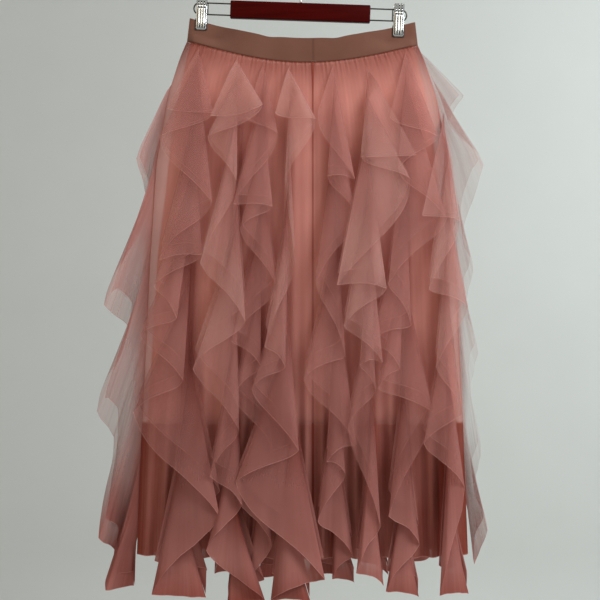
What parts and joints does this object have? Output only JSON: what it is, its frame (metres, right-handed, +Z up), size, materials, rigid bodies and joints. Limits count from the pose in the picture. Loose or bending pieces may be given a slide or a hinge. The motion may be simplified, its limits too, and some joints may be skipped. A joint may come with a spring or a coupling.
{
  "type": "tulle ruffle skirt on a clip hanger",
  "caption": "Long elastic-waist tulle skirt with vertical waterfall ruffles over a satin lining, hung flat by its waist from a wooden-bar clip hanger.",
  "frame": {"origin": "top of the space inside the hanger's hook, where it rests on a rail", "axes": "+Z up, the skirt's front faces -Y, +X to the right as seen from the front"},
  "size_m": [0.6354, 0.2179, 1.0578],
  "materials": {
    "elastic": "matt ribbed elastic webbing, brown mauve",
    "lining": "soft satin, salmon pink",
    "tulle_base": "fine gathered net, dusty salmon",
    "tulle_ruffle": "fine sheer net, dusty pink",
    "wood": "dark red mahogany lacquer, glossy",
    "steel_wire": "plated wire, worn satin",
    "chrome": "bright plated sheet, ribbed and dimpled"
  },
  "bodies": {
    "root": {"waistband": "elastic", "lining_front_top": "lining", "lining_front_low": "lining", "lining_back_top": "lining", "lining_back_low": "lining", "tulle_front": "tulle_base", "tulle_back": "tulle_base", "ruffle_front_a": "tulle_ruffle", "ruffle_front_b": "tulle_ruffle", "ruffle_front_c": "tulle_ruffle", "ruffle_front_d": "tulle_ruffle", "ruffle_front_e": "tulle_ruffle", "ruffle_front_f": "tulle_ruffle", "ruffle_front_g": "tulle_ruffle", "ruffle_front_h": "tulle_ruffle", "ruffle_back_1": "tulle_ruffle", "ruffle_back_2": "tulle_ruffle", "ruffle_back_3": "tulle_ruffle", "ruffle_back_4": "tulle_ruffle", "ruffle_back_5": "tulle_ruffle", "ruffle_back_6": "tulle_ruffle", "ruffle_side_left": "tulle_ruffle", "ruffle_side_right": "tulle_ruffle", "hanger_bar": "wood", "hanger_hook": "steel_wire", "hanger_wire_left": "steel_wire", "hanger_wire_right": "steel_wire", "clip_left": "chrome", "clip_right": "chrome"}
  },
  "joints": []
}
